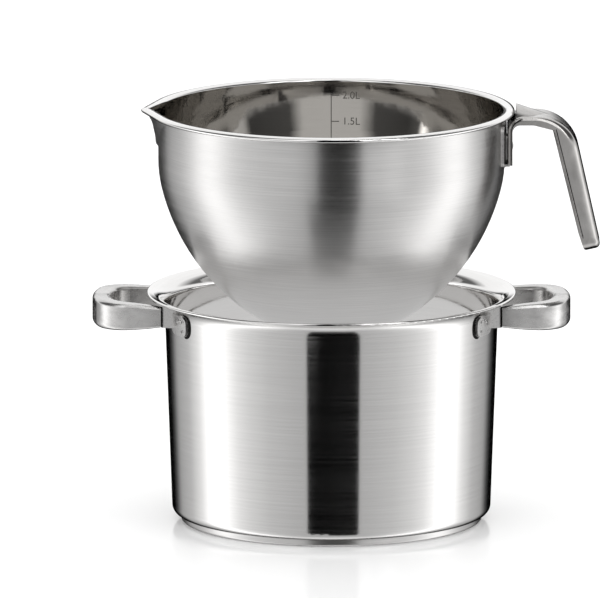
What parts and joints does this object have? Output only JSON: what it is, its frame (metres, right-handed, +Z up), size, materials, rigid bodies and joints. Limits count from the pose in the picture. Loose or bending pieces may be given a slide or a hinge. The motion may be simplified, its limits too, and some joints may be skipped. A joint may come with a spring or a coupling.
{
  "type": "double boiler",
  "caption": "Stockpot with looped side handles and a deep melting bowl with a pouring spout and a long handle, which sits in the pot's mouth.",
  "frame": {"origin": "on the pot's axis at the underside of its base", "axes": "+Z up along the pot's axis, +X towards the bowl's handle, -X towards its spout, -Y towards the viewer of the picture"},
  "size_m": [0.2675, 0.195, 0.222],
  "materials": {
    "pot_steel": "satin brushed round the wall, polished lip",
    "base_steel": "polished pressed sheet",
    "core_aluminium": "plain, hidden inside the base",
    "loop_steel": "polished tube",
    "bracket_steel": "polished pressing",
    "bowl_steel": "satin brushed outside, polished inside and on the rolled rim",
    "bowl_handle_steel": "polished pressing",
    "rivet_steel": "polished rivet head"
  },
  "bodies": {
    "pot": {"pot_shell": "pot_steel", "base_cap": "base_steel", "base_core": "core_aluminium", "right_loop_handle": "loop_steel", "left_loop_handle": "loop_steel", "right_front_bracket": "bracket_steel", "right_rear_bracket": "bracket_steel", "left_front_bracket": "bracket_steel", "left_rear_bracket": "bracket_steel"},
    "bowl": {"bowl_shell": "bowl_steel", "bowl_handle": "bowl_handle_steel", "bowl_handle_bracket": "bracket_steel", "handle_rivet": "rivet_steel"}
  },
  "joints": [
    {"name": "bowl_lift", "type": "slide", "parent": "pot", "child": "bowl", "axis": [0, 0, 1], "range_m": [-0.0542, 0.04]}
  ]
}
